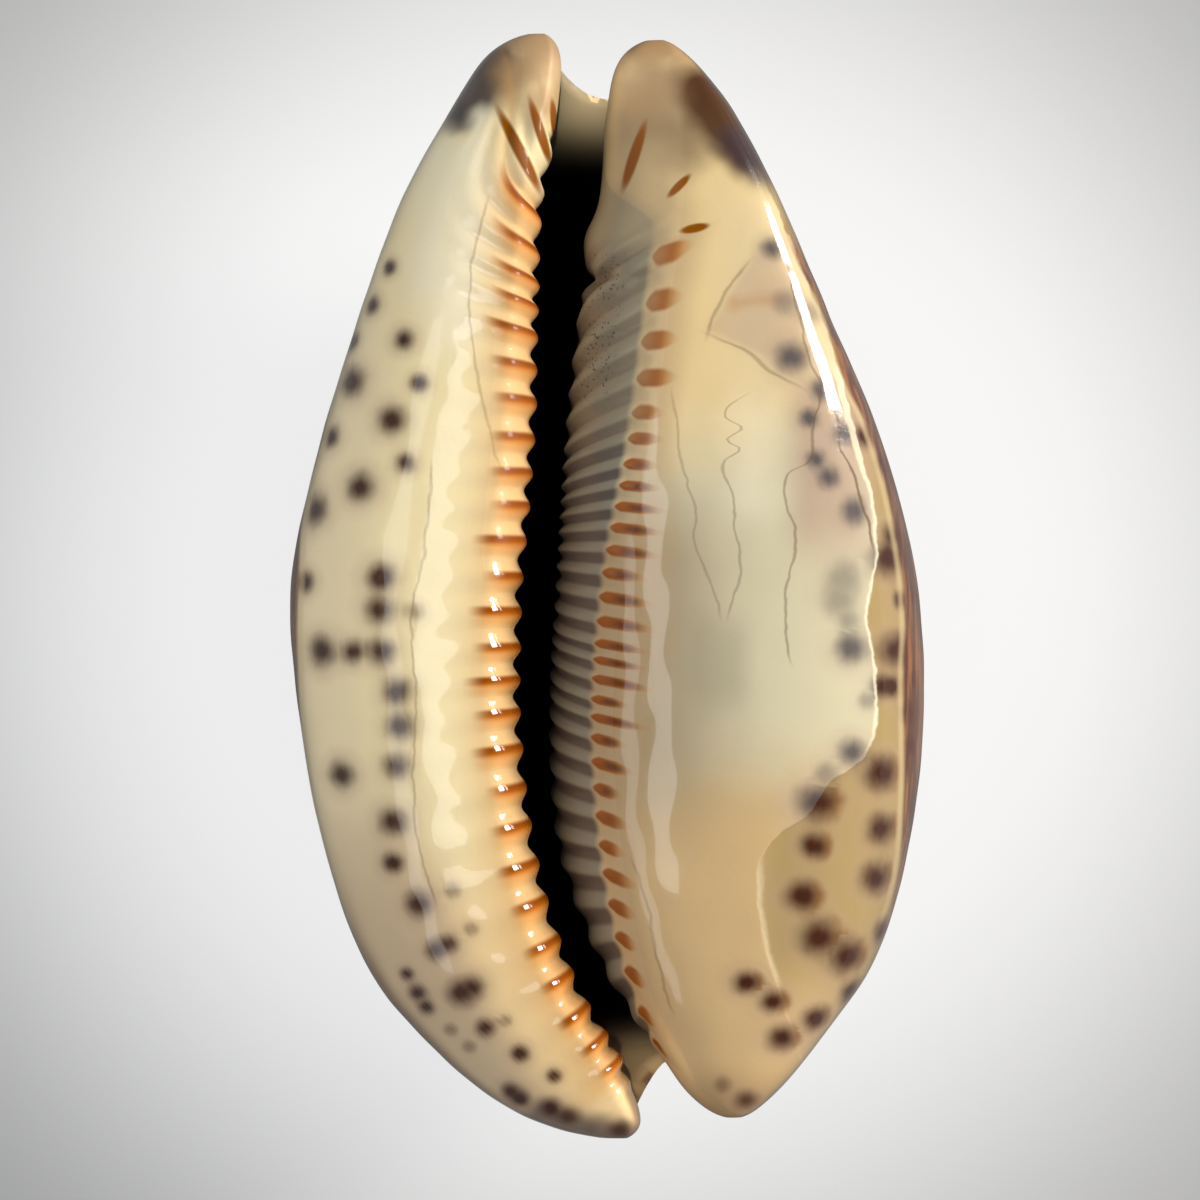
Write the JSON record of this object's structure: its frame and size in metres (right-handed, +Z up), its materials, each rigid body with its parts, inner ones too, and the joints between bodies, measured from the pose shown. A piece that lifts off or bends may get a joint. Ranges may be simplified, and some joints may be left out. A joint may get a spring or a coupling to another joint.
{
  "type": "cowrie shell",
  "caption": "Glossy cowrie shell lying on its back, with a toothed slit between rolled lips, a canal notch at each end, dark-spotted cream margins and a thin hollow body.",
  "frame": {"origin": "middle of the bounding box's bottom, on the surface that the shell's back rests on", "axes": "+Y along the slit towards the front (siphon) end, +Z up out of the slit, +X towards the columellar lip"},
  "size_m": [0.0376, 0.064, 0.028],
  "materials": {
    "enamel": "natural high gloss, cream with orange-brown teeth and dark brown spots"
  },
  "bodies": {
    "root": {"shell": "enamel"}
  },
  "joints": []
}
